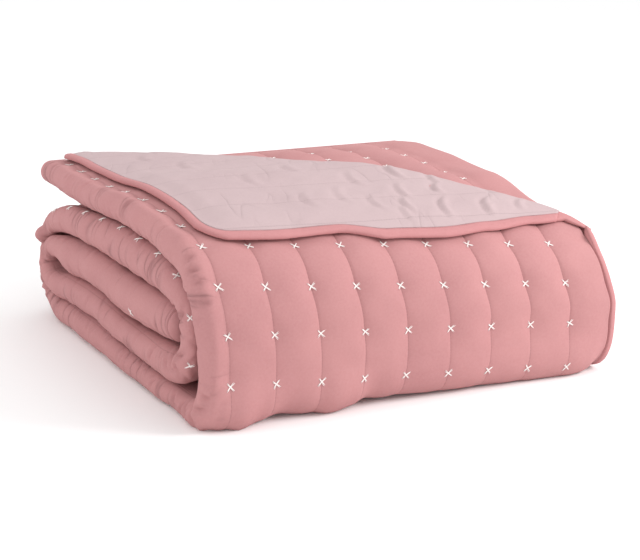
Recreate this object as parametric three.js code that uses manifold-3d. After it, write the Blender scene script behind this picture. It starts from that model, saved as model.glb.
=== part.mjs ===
// A quilted coverlet, folded in three across its width and then rolled flat in its length.
// Its top corner is turned over, so that the pale reverse shows.
// Millimetres, +Z up, the origin at the middle of the footprint, on the surface it rests on.
import * as THREE from 'three';
import Module from 'manifold-3d';

const wasm = await Module();
wasm.setup();

// Driving dimensions
const LINE_PITCH = 50;        // from one quilting line to the next
const FIRST_LINE = 25;        // the first line, from the round left fold
const LINE_COUNT = 9;         // lines across one folded width
const CLOTH_EDGE = 485;       // the bound side edge of the outermost layer
const FOLD_APEX = 479;        // the round right fold of the two layers under it
const GROOVE_DEPTH = 2.4;     // how far a quilting line draws the padding in
const GROOVE_HALF = 11;       // half the width over which it does
const LAYER_GAP = 1.4;        // air between two layers of one band
const FIT = 0.3;              // air between two sewn pieces
const FLOOR_EASE = 0.1;       // cloth this close to the surface lies flat on it
const BINDING = 9;            // visible width of the bound edge
const RIBS_SHOW_FROM = 250;   // the middle layer shows its lines from here on
const PLAIN_BREAKS = [100, 190, 280, 370]; // points across a face that has no lines
const TIP_ROUND = 1.5;        // easing of the cloth's cut edge inside its binding
const TUCK = 4;               // the hidden middle edge stops this far short of the left fold
const FOLDED_WIDTH = 500;
const MIDDLE = { x: 245.6, y: 240.45 }; // middle of the footprint, from the left front corner

// The band of three layers, seen from its left end, as it is rolled up from outside to inside.
// y and z give its middle line, thick its thickness, left and right its two ends across.
const COLUMNS = ['y', 'z', 'thick', 'left', 'right'];
const TOP_FOLD = [
  [478, 164, 26, 12, 500],
  [430, 167, 27, 9, 497],
  [370, 168, 28, 5, 494],
  [300, 170, 28, 2, 491],
  [215, 176.5, 31, 0, 483],
  [150, 176, 32, 0, 476],
  [100, 171.5, 32, 0, 470],
];
const FRONT_WRAP = [
  [62, 166, 34, 0, 466],
  [39, 156, 35, 1, 465],
  [24, 140, 34, 2, 469],
  [18, 120, 33, 5, 476],
  [16.5, 85, 32, 10, 486],
  [16.5, 54, 31, 11, 486],
  [16.5, 34, 29.5, 10, 484],
  [21.5, 20, 27.5, 9, 482],
];
const BOTTOM_FOLD = [
  [38, 12.9, 25.6, 8, 481],
  [90, 12.5, 25, 6, 484],
  [150, 13, 26, 4, 485],
  [220, 14, 28, 4, 486],
  [290, 16, 32, 4, 488],
  [380, 16, 32, 5, 490],
  [425, 15, 30, 6, 491],
];
const BACK_WRAP = [
  [450, 24, 28, 7, 492],
  [464, 40, 24, 8, 493],
  [469, 59, 23, 8, 493],
  [466, 78, 23, 7, 493],
  [456, 97, 22, 6, 492],
  [438, 111, 23, 4, 491],
  [410, 121, 27, 2, 491],
];
const SECOND_FOLD = [
  [375, 129, 33, 0, 490],
  [290, 135, 37, 0, 490],
  [220, 136, 44, 0, 488],
  [150, 135, 42, 0, 487],
  [92, 131, 38, 1, 486],
];
const INNER_FRONT = [
  [67, 124, 32, 2, 485],
  [53, 111, 27, 4, 484],
  [47, 93, 24, 5, 484],
  [46.5, 75, 24, 5, 484],
  [53, 59, 27, 4, 485],
  [68, 49, 33, 3, 486],
];
const FOURTH_FOLD = [
  [92, 45.5, 37, 3, 487],
  [150, 45, 33, 3, 488],
  [220, 45.5, 29, 3, 489],
  [290, 51.5, 34, 2, 490],
  [375, 49.5, 31, 0, 491],
  [412, 47, 27, -1, 491],
];
const INNER_BACK = [
  [432, 52, 24, -2, 491],
  [443, 68, 22, -2, 491],
  [432, 85, 24, -1, 491],
];
const THIRD_FOLD = [
  [412, 90, 27, 0, 490],
  [370, 88.5, 43, 0, 489],
  [290, 92.5, 42, 0, 488],
  [220, 87.5, 47, 0, 487],
  [150, 88.5, 46, 0, 486],
  [100, 89, 42, 2, 485],
  [69, 88.5, 34, 3, 484],
];

// The right end has sunk in front and stands up behind the middle: by this share of the height.
const RIGHT_END_LIFT = [
  { y: 30, share: -0.12 },
  { y: 130, share: -0.09 },
  { y: 230, share: -0.02 },
  { y: 335, share: 0.03 },
  { y: 400, share: 0.035 },
  { y: 480, share: 0.005 },
];

// The turned corner: a straight fold across the top, on the line x + w = FOLD_SUM, where w is
// the distance along the top fold from its front.
const TOP_LENGTH = 480;
const FOLD_SUM = 522;
const TURN = [                // radius of the diagonal fold at x, and thickness of the cloth there
  { x: 60, radius: 3.9, cloth: 5.2 },
  { x: 200, radius: 5.2, cloth: 7.8 },
  { x: 340, radius: 5.2, cloth: 7.8 },
  { x: 440, radius: 4.3, cloth: 5.2 },
];
const CORNER_EDGE_CLOTH = 4.6; // thickness of the turned corner at its bound edge
const EDGE_TAPER = 40;        // width over which it thins and sinks
const EDGE_AIR = 1;           // air under its edge
const FAN = 0.75;             // at the back end its threads run this much more to the left
const FAN_OVER = { from: 50, to: 130 };
const CORNER_ROUND = 34;      // rounding of its tip
const LINING = 1.1;           // thickness of the pale reverse
const LEFT_EDGE = [           // x of its left edge, without its binding
  { w: 60, x: 38 },
  { w: 130, x: 42 },
  { w: 300, x: 42 },
  { w: 390, x: 39 },
  { w: 470, x: 36 },
];
const FRONT_EDGE = [          // w of its front edge, without its binding
  { x: 40, w: 60 },
  { x: 110, w: 57 },
  { x: 180, w: 60 },
  { x: 235, w: 50 },
  { x: 300, w: 46 },
  { x: 380, w: 49 },
  { x: 485, w: 45 },
];

const smooth = (low, high, value) => THREE.MathUtils.smoothstep(value, low, high);
const mix = THREE.MathUtils.lerp;

// Value of a table's column at a place in another one, eased from row to row.
function between(rows, place, value, at) {
  const next = rows.findIndex((row) => at < row[place]);
  if (next === 0) return rows[0][value];
  if (next < 0) return rows.at(-1)[value];
  const [a, b] = [rows[next - 1], rows[next]];
  return mix(a[value], b[value], smooth(a[place], b[place], at));
}

// Middle line of the band, by its length from the back end of the top fold.
function makePath(rows) {
  const knots = rows.map((row) => Object.fromEntries(COLUMNS.map((name, i) => [name, row[i]])));
  const line = new THREE.CatmullRomCurve3(knots.map((k) => new THREE.Vector3(k.y, k.z, k.thick)));
  const ends = new THREE.CatmullRomCurve3(knots.map((k) => new THREE.Vector3(k.left, k.right, 0)));
  const count = 40 * knots.length;
  const samples = [];
  let length = 0;
  for (let i = 0; i <= count; i++) {
    const middle = line.getPoint(i / count);
    const across = ends.getPoint(i / count);
    const last = samples[i - 1];
    if (last) length += Math.hypot(middle.x - last.y, middle.y - last.z);
    samples.push({ t: length, y: middle.x, z: middle.y, thick: middle.z, left: across.x, right: across.y });
  }
  const at = (t) => {
    let high = samples.findIndex((s) => s.t >= t);
    high = THREE.MathUtils.clamp(high < 0 ? count : high, 1, count);
    const a = samples[high - 1];
    const b = samples[high];
    const f = (t - a.t) / (b.t - a.t);
    const out = {};
    for (const name of COLUMNS) out[name] = mix(a[name], b[name], f);
    return out;
  };
  return { length, at };
}

const path = makePath([
  ...TOP_FOLD, ...FRONT_WRAP, ...BOTTOM_FOLD, ...BACK_WRAP, ...SECOND_FOLD,
  ...INNER_FRONT, ...FOURTH_FOLD, ...INNER_BACK, ...THIRD_FOLD,
]);

// Direction of the middle line at t, and how fast it turns, in radians a millimetre.
function heading(t) {
  const step = 3;
  const a = path.at(t - step);
  const b = path.at(t + step);
  return Math.atan2(b.z - a.z, b.y - a.y);
}

function turning(t) {
  const step = 6;
  const turn = heading(t + step) - heading(t - step);
  return Math.abs(Math.atan2(Math.sin(turn), Math.cos(turn))) / (2 * step);
}

// A point of the band: x across the cloth, t along the band, n outwards from its middle line.
function onBand(x, t, n) {
  const here = path.at(t);
  const angle = heading(t);
  const scale = (here.right - here.left) / CLOTH_EDGE;
  const px = here.left + x * scale;
  const py = here.y + n * Math.sin(angle);
  let pz = here.z - n * Math.cos(angle);
  pz *= 1 + (between(RIGHT_END_LIFT, 'y', 'share', py) * px) / FOLDED_WIDTH;
  if (pz < FLOOR_EASE) pz = 0;
  return new THREE.Vector3(px - MIDDLE.x, py - MIDDLE.y, pz);
}

const layerThickness = (thick) => thick / 3 - (2 / 3) * LAYER_GAP;

// Closed meshes

// A geometry whose faces all point out.
function facingOut(points, triangles) {
  let volume = 0;
  for (const [a, b, c] of triangles) {
    volume += points[a].dot(new THREE.Vector3().crossVectors(points[b], points[c]));
  }
  const facing = volume > 0 ? triangles : triangles.map(([a, b, c]) => [a, c, b]);
  const geometry = new THREE.BufferGeometry();
  geometry.setAttribute('position', new THREE.Float32BufferAttribute(points.flatMap((p) => p.toArray()), 3));
  geometry.setIndex(facing.flat());
  return geometry;
}

// A solid through a row of closed outlines. The flat outline, in two dimensions, gives the end
// faces, and which way each face is split: always up to the right, so that layers stay apart.
function sweptSolid(outlines, flatOutline) {
  const points = outlines.flat();
  const size = outlines[0].length;
  const triangles = [];
  for (let ring = 0; ring + 1 < outlines.length; ring++) {
    for (let i = 0; i < size; i++) {
      const next = (i + 1) % size;
      const rising = flatOutline[i][0] <= flatOutline[next][0];
      const [a, b] = rising ? [i, next] : [next, i];
      const near = ring * size;
      const far = near + size;
      triangles.push([near + a, near + b, far + b], [near + a, far + b, far + a]);
    }
  }
  const last = (outlines.length - 1) * size;
  const flat = flatOutline.map(([x, n]) => new THREE.Vector2(x, n));
  for (const face of THREE.ShapeUtils.triangulateShape(flat, [])) {
    triangles.push(face, face.map((i) => last + i));
  }
  return orient(points, triangles);
}

// Turns every triangle the same way round as its neighbours, then lets them all face out.
function orient(points, triangles) {
  const edges = new Map();
  triangles.forEach((triangle, index) => {
    for (let k = 0; k < 3; k++) {
      const a = triangle[k];
      const b = triangle[(k + 1) % 3];
      const key = a < b ? `${a},${b}` : `${b},${a}`;
      if (!edges.has(key)) edges.set(key, []);
      edges.get(key).push({ index, forward: a < b });
    }
  });
  const flip = new Array(triangles.length).fill(null);
  flip[0] = false;
  const queue = [0];
  while (queue.length) {
    const index = queue.pop();
    const triangle = triangles[index];
    for (let k = 0; k < 3; k++) {
      const a = triangle[k];
      const b = triangle[(k + 1) % 3];
      const pair = edges.get(a < b ? `${a},${b}` : `${b},${a}`);
      const mine = pair.find((side) => side.index === index);
      const other = pair.find((side) => side.index !== index);
      if (!other || flip[other.index] !== null) continue;
      flip[other.index] = mine.forward === other.forward ? !flip[index] : flip[index];
      queue.push(other.index);
    }
  }
  return facingOut(points, triangles.map(([a, b, c], i) => (flip[i] ? [a, c, b] : [a, b, c])));
}

// A sheet with two faces, columns by rows points each, closed round its rim.
function sheetSolid(columns, rows, pointAt) {
  const points = [];
  for (const side of [-1, 1]) {
    for (let i = 0; i < columns; i++) {
      for (let j = 0; j < rows; j++) points.push(pointAt(i, j, side));
    }
  }
  const at = (side, i, j) => side * columns * rows + i * rows + j;
  const triangles = [];
  const quad = (a, b, c, d) => triangles.push([a, b, c], [a, c, d]);
  for (let i = 0; i + 1 < columns; i++) {
    for (let j = 0; j + 1 < rows; j++) {
      quad(at(0, i, j), at(0, i, j + 1), at(0, i + 1, j + 1), at(0, i + 1, j));
      quad(at(1, i, j), at(1, i + 1, j), at(1, i + 1, j + 1), at(1, i, j + 1));
    }
  }
  for (let i = 0; i + 1 < columns; i++) {
    quad(at(0, i, 0), at(0, i + 1, 0), at(1, i + 1, 0), at(1, i, 0));
    quad(at(0, i, rows - 1), at(1, i, rows - 1), at(1, i + 1, rows - 1), at(0, i + 1, rows - 1));
  }
  for (let j = 0; j + 1 < rows; j++) {
    quad(at(0, 0, j), at(1, 0, j), at(1, 0, j + 1), at(0, 0, j + 1));
    quad(at(0, columns - 1, j), at(0, columns - 1, j + 1), at(1, columns - 1, j + 1), at(1, columns - 1, j));
  }
  return orient(points, triangles);
}

function toManifold(geometry) {
  return new wasm.Manifold(new wasm.Mesh({
    numProp: 3,
    vertProperties: new Float32Array(geometry.attributes.position.array),
    triVerts: new Uint32Array(geometry.index.array),
  }));
}

function toGeometry(manifold) {
  const mesh = manifold.getMesh();
  const geometry = new THREE.BufferGeometry();
  geometry.setAttribute('position', new THREE.Float32BufferAttribute(mesh.vertProperties, 3));
  geometry.setIndex(Array.from(mesh.triVerts));
  return geometry;
}

// The folded section

const lineX = (index) => FIRST_LINE + index * LINE_PITCH;

// A face with its quilting lines, from x = from to x = to, drawn in by the grooves.
function ribbedSide(from, to, level) {
  const side = [];
  for (let index = 0; index < LINE_COUNT; index++) {
    const x = lineX(index);
    if (x <= from || x + GROOVE_HALF >= to) continue;
    const start = Math.max(x - GROOVE_HALF, mix(from, x, 0.5));
    side.push([start, level], [x, level - GROOVE_DEPTH], [x + GROOVE_HALF, level]);
  }
  return side;
}

// A half round from one angle to another, in degrees, about the point (x, n).
function halfRound(x, n, radius, from, to, steps) {
  const points = [];
  for (let i = 0; i <= steps; i++) {
    const angle = THREE.MathUtils.degToRad(mix(from, to, i / steps));
    points.push([x + radius * Math.cos(angle), n + radius * Math.sin(angle)]);
  }
  return points;
}

// Points of a plain face between two places across, either way.
function plainRun(from, to, level) {
  const low = Math.min(from, to) + 5;
  const high = Math.max(from, to) - 5;
  const run = PLAIN_BREAKS.filter((x) => x > low && x < high).map((x) => [x, level]);
  return to > from ? run : run.reverse();
}

// Three layers of one cloth: the outer one is joined to the inner one by the round left fold,
// and that one to the middle one by the round right fold. x across, n outwards.
function bandSection(thick, outerEnd) {
  const half = thick / 2;
  const layer = layerThickness(thick);
  const under = half - layer;
  const middleTop = layer / 2;
  const outerTurn = (half + middleTop) / 2;
  const innerTurn = (under - middleTop) / 2;
  const turnX = FOLD_APEX - outerTurn;
  const turnN = outerTurn - half;
  const tuck = half + TUCK;
  return [
    ...halfRound(half, 0, half, 270, 90, 6),
    ...ribbedSide(half, outerEnd, half),
    [outerEnd, half - TIP_ROUND],
    [outerEnd, under + TIP_ROUND],
    [outerEnd - 4 * TIP_ROUND, under],
    ...plainRun(outerEnd, half, under),
    ...halfRound(half, 0, under, 90, 270, 4),
    ...plainRun(half, turnX, -under),
    ...halfRound(turnX, turnN, innerTurn, 270, 450, 2),
    ...plainRun(turnX, tuck, -middleTop),
    [tuck, -middleTop],
    [tuck, middleTop],
    ...plainRun(tuck, RIBS_SHOW_FROM, middleTop),
    ...ribbedSide(RIBS_SHOW_FROM, turnX, middleTop),
    ...halfRound(turnX, turnN, outerTurn, 90, -90, 5),
    ...plainRun(turnX, half, -half),
  ];
}

// Places along the band, closer together where it bends: each step turns by about stepTurn.
function stations(from, to, stepTurn) {
  const list = [from];
  let turned = 0;
  let t = from;
  for (t = from; t < to; t += 1) {
    const coarsest = t < TOP_LENGTH ? 52 : 85;
    turned += turning(t) / stepTurn + 1 / coarsest;
    if (turned < 1) continue;
    turned = 0;
    list.push(t);
  }
  if (to - list.at(-1) < 8) list.pop();
  return [...list, to];
}

function bandSolid(times, outerEnd) {
  const section = (t) => bandSection(path.at(t).thick, outerEnd);
  const outlines = times.map((t) => section(t).map(([x, n]) => onBand(x, t, n)));
  return sweptSolid(outlines, section(times[0]));
}

// The turned corner

const frontEdge = (x) => between(FRONT_EDGE, 'x', 'w', x);
const leftEdge = (w) => between(LEFT_EDGE, 'w', 'x', w);
const forwards = (x) => 1 - FAN * (1 - smooth(FAN_OVER.from, FAN_OVER.to, x));

// How far the corner reaches back over the cloth, from the point of the diagonal at x.
function cornerReach(x) {
  const w = FOLD_SUM - x;
  let toLeft = 0;
  let toFront = 0;
  for (let i = 0; i < 12; i++) {
    toLeft = Math.SQRT2 * (x - leftEdge(w - (forwards(x) * toLeft) / Math.SQRT2));
    toFront = Math.SQRT2 * (w - frontEdge(x - toFront / Math.SQRT2));
  }
  const blend = THREE.MathUtils.clamp(0.5 + (toFront - toLeft) / (2 * CORNER_ROUND), 0, 1);
  return mix(toFront, toLeft, blend) - CORNER_ROUND * blend * (1 - blend);
}

// A point of the cloth near the diagonal. before is the length before the fold, turn the
// angle round it, after the length past it, and off the height above the middle of the cloth,
// on the side of the reverse. sink is 1 where the cloth lies on what is under it.
function onTurn(x, before, turn, after, off, sink) {
  const w = FOLD_SUM - x;
  const radius = between(TURN, 'x', 'radius', x);
  const outwards = -before + (radius + off) * Math.sin(turn) - after;
  const alongBand = outwards + after * (1 - forwards(x));
  const t = TOP_LENGTH - (w + alongBand / Math.SQRT2);
  const { thick } = path.at(t);
  const layer = layerThickness(thick);
  const lowest = layer / 2 + EDGE_AIR + CORNER_EDGE_CLOTH / 2;
  const drop = sink * (2 * radius - lowest) * (1 - Math.cos(turn)) / 2;
  const rise = radius - (radius + off) * Math.cos(turn) - drop;
  return onBand(x + outwards / Math.SQRT2, t, thick / 2 - layer / 2 + rise);
}

const CORNER_COLUMNS = 26;
const CORNER_START_X = FOLD_SUM - TOP_LENGTH + BINDING;
const CORNER_END_X = FOLD_SUM - FRONT_EDGE.at(-1).w - 5;
const TURN_STEPS = 5;
const CORNER_ROWS = 7;

const cornerX = (i) => mix(CORNER_START_X, CORNER_END_X, i / (CORNER_COLUMNS - 1));
const cornerSink = (reach, after) => 1 - smooth(0, EDGE_TAPER, reach - after);
const cornerHalf = (x, reach, after) => {
  return mix(between(TURN, 'x', 'cloth', x), CORNER_EDGE_CLOTH, cornerSink(reach, after)) / 2;
};

// Rows of the turned corner: a short overlap with the layer it belongs to, the turn, and the
// flat part that lies on the top.
function turnRow(j) {
  if (j === 0) return { before: 4, turn: 0, share: 0 };
  if (j <= TURN_STEPS + 1) return { before: 0, turn: (Math.PI * (j - 1)) / TURN_STEPS, share: 0 };
  return { before: 0, turn: Math.PI, share: (j - TURN_STEPS - 1) / CORNER_ROWS };
}

function cornerBody() {
  return sheetSolid(CORNER_COLUMNS, TURN_STEPS + 2 + CORNER_ROWS, (i, j, side) => {
    const x = cornerX(i);
    const reach = Math.max(cornerReach(x), 3);
    const row = turnRow(j);
    const after = reach * row.share;
    const half = cornerHalf(x, reach, after) - (j === 0 ? 0.8 : 0);
    return onTurn(x, row.before, row.turn, after, side * half, cornerSink(reach, after));
  });
}

// The pale reverse, from the foot of the diagonal fold to the binding.
function cornerLining() {
  const firstTurn = 1;
  const rows = TURN_STEPS + 1 - firstTurn + CORNER_ROWS;
  return sheetSolid(CORNER_COLUMNS, rows, (i, j, side) => {
    const x = cornerX(i);
    const reach = Math.max(cornerReach(x), 3);
    const row = turnRow(j + 1 + firstTurn);
    const after = reach * row.share;
    const base = cornerHalf(x, reach, after) + FIT;
    const off = side < 0 ? base : base + LINING;
    return onTurn(x, 0, row.turn, after, off, cornerSink(reach, after));
  });
}

// Removes the outer layer past the diagonal.
function cornerCutter(times) {
  const outlines = times.map((t) => {
    const thick = path.at(t).thick;
    const low = thick / 2 - layerThickness(thick) - LAYER_GAP / 2;
    const start = FOLD_SUM - TOP_LENGTH + t;
    const inside = PLAIN_BREAKS.map((x, i) => Math.max(x, start + i + 1));
    const across = [start, ...inside, Math.max(CLOTH_EDGE, start) + BINDING];
    const bottom = across.map((x) => [x, low]);
    const top = across.map((x) => [x, low + 60]).reverse();
    return [...bottom, ...top].map(([x, n]) => onBand(x, t, n));
  });
  const places = [...Array(PLAIN_BREAKS.length + 2).keys()];
  const flat = [...places.map((x) => [x, -x * x]), ...places.map((x) => [x, 40 + x * x]).reverse()];
  return sweptSolid(outlines, flat);
}

// Binding

// Section of the bound edge: how far out from the cloth, and half its height there.
const BINDING_PROFILE = [
  { out: 0, half: 2.3 },
  { out: 0.3, half: 2.8 },
  { out: 0.75, half: 2.6 },
  { out: 1, half: 1.3 },
];

function cornerBinding() {
  const step = 1;
  return sheetSolid(CORNER_COLUMNS, BINDING_PROFILE.length, (i, j, side) => {
    const x = cornerX(i);
    const reach = Math.max(cornerReach(x), 3);
    const slope = (cornerReach(x + step) - cornerReach(x - step)) / (2 * step * Math.SQRT2);
    const slant = Math.hypot(1, slope);
    const row = BINDING_PROFILE[j];
    const after = reach + slant * (FIT + row.out * BINDING);
    return onTurn(x, 0, Math.PI, after, side * row.half, 1);
  });
}

// Along the side edge of the outermost layer, down the front and on round the roll.
function sideBinding(times) {
  const outlines = times.map((t) => {
    const thick = path.at(t).thick;
    const middle = thick / 2 - layerThickness(thick) / 2;
    const high = layerThickness(thick) / 2 - 0.6;
    const start = CLOTH_EDGE - BINDING;
    return [
      [start, middle - high], [start + 6, middle - high], [CLOTH_EDGE, middle - 2],
      [CLOTH_EDGE, middle + 2], [start + 6, middle + high], [start, middle + high],
    ].map(([x, n]) => onBand(x, t, n));
  });
  const flat = [[0, -4], [6, -4], [9, -2], [9, 2], [6, 4], [0, 4]];
  return sweptSolid(outlines, flat);
}

// Materials

const cloth = new THREE.MeshStandardMaterial({ color: 0xd78b8c, roughness: 0.85, metalness: 0 });
const reverse = new THREE.MeshStandardMaterial({ color: 0xe6cbcb, roughness: 0.9, metalness: 0 });
const tape = new THREE.MeshStandardMaterial({ color: 0xdc8a8d, roughness: 0.85, metalness: 0 });

// Assembly

const coverlet = new THREE.Group();

function addPiece(name, geometry, material) {
  const mesh = new THREE.Mesh(geometry, material);
  mesh.name = name;
  coverlet.add(mesh);
}

// The side binding starts just below the turned corner, at a station that the cloth shares.
const endMargin = BINDING + FIT;
const sideStart = TOP_LENGTH - (FOLD_SUM - CLOTH_EDGE) + 4;
const quiltTimes = [
  ...stations(endMargin, sideStart, 0.5),
  ...stations(sideStart, path.length - endMargin, 0.5).slice(1),
];
const sideTimes = quiltTimes.filter((t) => t >= sideStart);

const outerEnd = CLOTH_EDGE - BINDING - FIT;
const rolled = toManifold(bandSolid(quiltTimes, outerEnd));
const foldEnd = CLOTH_EDGE - FOLD_SUM + TOP_LENGTH;
const cutTimes = [-30, ...quiltTimes.filter((t) => t < foldEnd), foldEnd + 12];
const cut = rolled.subtract(toManifold(cornerCutter(cutTimes)));
const quilt = cut.add(toManifold(cornerBody()));

addPiece('quilted_body', toGeometry(quilt), cloth);
addPiece('reverse_corner', cornerLining(), reverse);
addPiece('binding_corner', cornerBinding(), tape);
addPiece('binding_side', sideBinding(sideTimes), tape);
addPiece('binding_back', bandSolid([0, BINDING], 34), tape);
addPiece('binding_inner', bandSolid([path.length - BINDING, path.length], outerEnd), tape);

export default coverlet;
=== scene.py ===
# A quilted coverlet, folded in three across its width and rolled flat in its length, with its top
# corner turned over. Sizes are millimetres until a mesh is made, and then metres.
import math

import bmesh
import bpy
import numpy as np
from mathutils import Matrix, Vector


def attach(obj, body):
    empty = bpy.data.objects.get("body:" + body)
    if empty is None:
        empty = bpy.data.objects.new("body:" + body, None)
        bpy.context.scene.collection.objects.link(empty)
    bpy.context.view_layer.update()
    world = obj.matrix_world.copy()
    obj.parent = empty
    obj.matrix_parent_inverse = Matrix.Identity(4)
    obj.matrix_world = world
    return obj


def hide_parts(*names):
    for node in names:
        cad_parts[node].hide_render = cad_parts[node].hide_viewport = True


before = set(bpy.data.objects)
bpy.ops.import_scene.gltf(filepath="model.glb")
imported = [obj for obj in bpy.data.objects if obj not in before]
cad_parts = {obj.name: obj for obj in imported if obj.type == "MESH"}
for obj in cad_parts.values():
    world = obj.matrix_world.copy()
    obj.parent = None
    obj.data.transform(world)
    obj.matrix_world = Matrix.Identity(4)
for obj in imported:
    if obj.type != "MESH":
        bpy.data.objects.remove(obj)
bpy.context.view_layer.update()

# The quilting
LINE_PITCH = 50.0  # from one quilting line to the next
FIRST_LINE = 25.0
LINE_COUNT = 9
STITCH_PITCH = 50.0  # from one cross stitch to the next along a line
FRONT_ROW = (24, 145)  # x and height of a cross near the top of the front
STITCH_SKEW = 0.0714  # rows of crosses run on by this share of x
RIB_HEIGHT = 3.6  # of the padding between two lines
RIB_BASE = -2.5  # height of a line against the flat face
DENT_DEPTH = 1.9  # at a cross stitch
DENT_RADIUS = 6.5
GARLAND_DEPTH = 2.0  # of the crease along the uppermost row of crosses on the front
GARLAND_WIDTH = 5.0
BARED_SWELL = 1.2  # the layer laid bare by the corner is this much plumper

# The cloth and its fold
CLOTH_EDGE = 485.0  # the open side edge, with its binding
FOLD_APEX = 479.0  # outside of the hidden fold at the right
LAYER_GAP = 1.4  # air between two layers of cloth
FIT = 0.3  # air between the cloth and its binding
FLOOR_EASE = 0.1  # what would be lower than this lies on the floor
BINDING = 9.0  # width of the tape
TIP_ROUND = 1.5  # rounding of the cloth's side edge
TUCK = 4.0  # from the left fold to the hidden edge of the middle layer
FOLDED_WIDTH = 500.0
MIDDLE = (245.6, 240.45)  # middle of the footprint
OUTER_END = CLOTH_EDGE - BINDING - FIT

# The turned corner. Its place is given by x and by w, the distance from the front of the top.
TOP_LENGTH = 480.0
BARED_END = 500.0  # along the band, before this the middle layer may be bare
FOLD_SUM = 522.0  # x + w on the diagonal
TURN_RADIUS = [(60, 3.9), (200, 5.2), (340, 5.2), (440, 4.3), (464, 4.3), (486, 2.0)]  # by x
TURN_CLOTH = [(60, 5.2), (200, 7.8), (340, 7.8), (440, 5.2)]  # thickness at the diagonal, by x
CORNER_EDGE_CLOTH = 4.6  # thickness at the free edges
EDGE_TAPER = 40.0  # the thickness changes over this width
EDGE_AIR = 1.0  # air under the free edges
FAN = 0.75  # the corner runs back along the band by less near its left end
FAN_OVER = (50, 130)  # x
CORNER_ROUND = 34.0
LINING = 1.1  # thickness of the pale reverse
REVERSE_LINE = 12.0  # first quilting line on it, as w

MM = 0.001

# Middle line of the band, seen from its left end, as it is rolled up from outside to inside, with
# its thickness and its two ends across.
COLUMNS = ("y", "z", "thick", "left", "right")
TOP_FOLD = [
    (478, 164, 26, 12, 500),
    (430, 167, 27, 9, 497),
    (370, 168, 28, 5, 494),
    (300, 170, 28, 2, 491),
    (215, 176.5, 31, 0, 483),
    (150, 176, 32, 0, 476),
    (100, 171.5, 32, 0, 470),
]
FRONT_WRAP = [
    (62, 166, 34, 0, 466),
    (39, 156, 35, 1, 465),
    (24, 140, 34, 2, 469),
    (18, 120, 33, 5, 476),
    (16.5, 85, 32, 10, 486),
    (16.5, 54, 31, 11, 486),
    (16.5, 34, 29.5, 10, 484),
    (21.5, 20, 27.5, 9, 482),
]
BOTTOM_FOLD = [
    (38, 12.9, 25.6, 8, 481),
    (90, 12.5, 25, 6, 484),
    (150, 13, 26, 4, 485),
    (220, 14, 28, 4, 486),
    (290, 16, 32, 4, 488),
    (380, 16, 32, 5, 490),
    (425, 15, 30, 6, 491),
]
BACK_WRAP = [
    (450, 24, 28, 7, 492),
    (464, 40, 24, 8, 493),
    (469, 59, 23, 8, 493),
    (466, 78, 23, 7, 493),
    (456, 97, 22, 6, 492),
    (438, 111, 23, 4, 491),
    (410, 121, 27, 2, 491),
]
SECOND_FOLD = [
    (375, 129, 33, 0, 490),
    (290, 135, 37, 0, 490),
    (220, 136, 44, 0, 488),
    (150, 135, 42, 0, 487),
    (92, 131, 38, 1, 486),
]
INNER_FRONT = [
    (67, 124, 32, 2, 485),
    (53, 111, 27, 4, 484),
    (47, 93, 24, 5, 484),
    (46.5, 75, 24, 5, 484),
    (53, 59, 27, 4, 485),
    (68, 49, 33, 3, 486),
]
FOURTH_FOLD = [
    (92, 45.5, 37, 3, 487),
    (150, 45, 33, 3, 488),
    (220, 45.5, 29, 3, 489),
    (290, 51.5, 34, 2, 490),
    (375, 49.5, 31, 0, 491),
    (412, 47, 27, -1, 491),
]
INNER_BACK = [
    (432, 52, 24, -2, 491),
    (443, 68, 22, -2, 491),
    (432, 85, 24, -1, 491),
]
THIRD_FOLD = [
    (412, 90, 27, 0, 490),
    (370, 88.5, 43, 0, 489),
    (290, 92.5, 42, 0, 488),
    (220, 87.5, 47, 0, 487),
    (150, 88.5, 46, 0, 486),
    (100, 89, 42, 2, 485),
    (69, 88.5, 34, 3, 484),
]
ROLL = [TOP_FOLD, FRONT_WRAP, BOTTOM_FOLD, BACK_WRAP, SECOND_FOLD, INNER_FRONT, FOURTH_FOLD]
ROLL += [INNER_BACK, THIRD_FOLD]

# The right end has sunk in front and stands up behind the middle: y, share of the height.
RIGHT_END_LIFT = [(30, -0.12), (130, -0.09), (230, -0.02), (335, 0.03), (400, 0.035), (480, 0.005)]

# Edges of the turned corner without its binding, the front one as x and w, the left one as w and x.
FRONT_EDGE = [(40, 60), (110, 57), (180, 60), (235, 50), (300, 48), (360, 52), (420, 57), (485, 60)]
LEFT_EDGE = [(60, 38), (130, 42), (300, 42), (390, 39), (470, 36)]

# How strongly the ribs stand out along the band, and how far the lower front sags forwards, by x.
RIB_STRENGTH = [(0, 1.0), (400, 1.0), (452, 1.35), (500, 1.05), (545, 0.75), (580, 0.35), (640, 0.3)]
RIB_STRENGTH += [(760, 0.8), (1000, 1.0)]
FRONT_SAG = [(0, 5), (10, 8), (23, 13), (38, 17), (66, 7), (91, 0), (123, 6), (141, 11), (169, 5)]
FRONT_SAG += [(189, -4), (213, 1), (283, 3), (343, 5), (390, 8), (435, 13), (455, 9), (475, -2)]
SAG_PLACE = 588.0  # along the band
SAG_WIDTH = 17.0
ROLLED_IN = (1300, 1340)  # along the band, where it goes out of sight


# Small helpers

def mix(a, b, share):
    return a + (b - a) * share


def smooth(low, high, value):
    share = np.clip((value - low) / (high - low), 0, 1)
    return share * share * (3 - 2 * share)


def eased(rows, at):
    """Second column of a short table at a place in its first, eased from row to row."""
    places, values = np.array(rows, float).T
    high = np.clip(np.searchsorted(places, at, side="right"), 1, len(places) - 1)
    share = smooth(places[high - 1], places[high], at)
    return mix(values[high - 1], values[high], share)


def bell(distance, width):
    return np.exp(-0.5 * (distance / width) ** 2)


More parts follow.
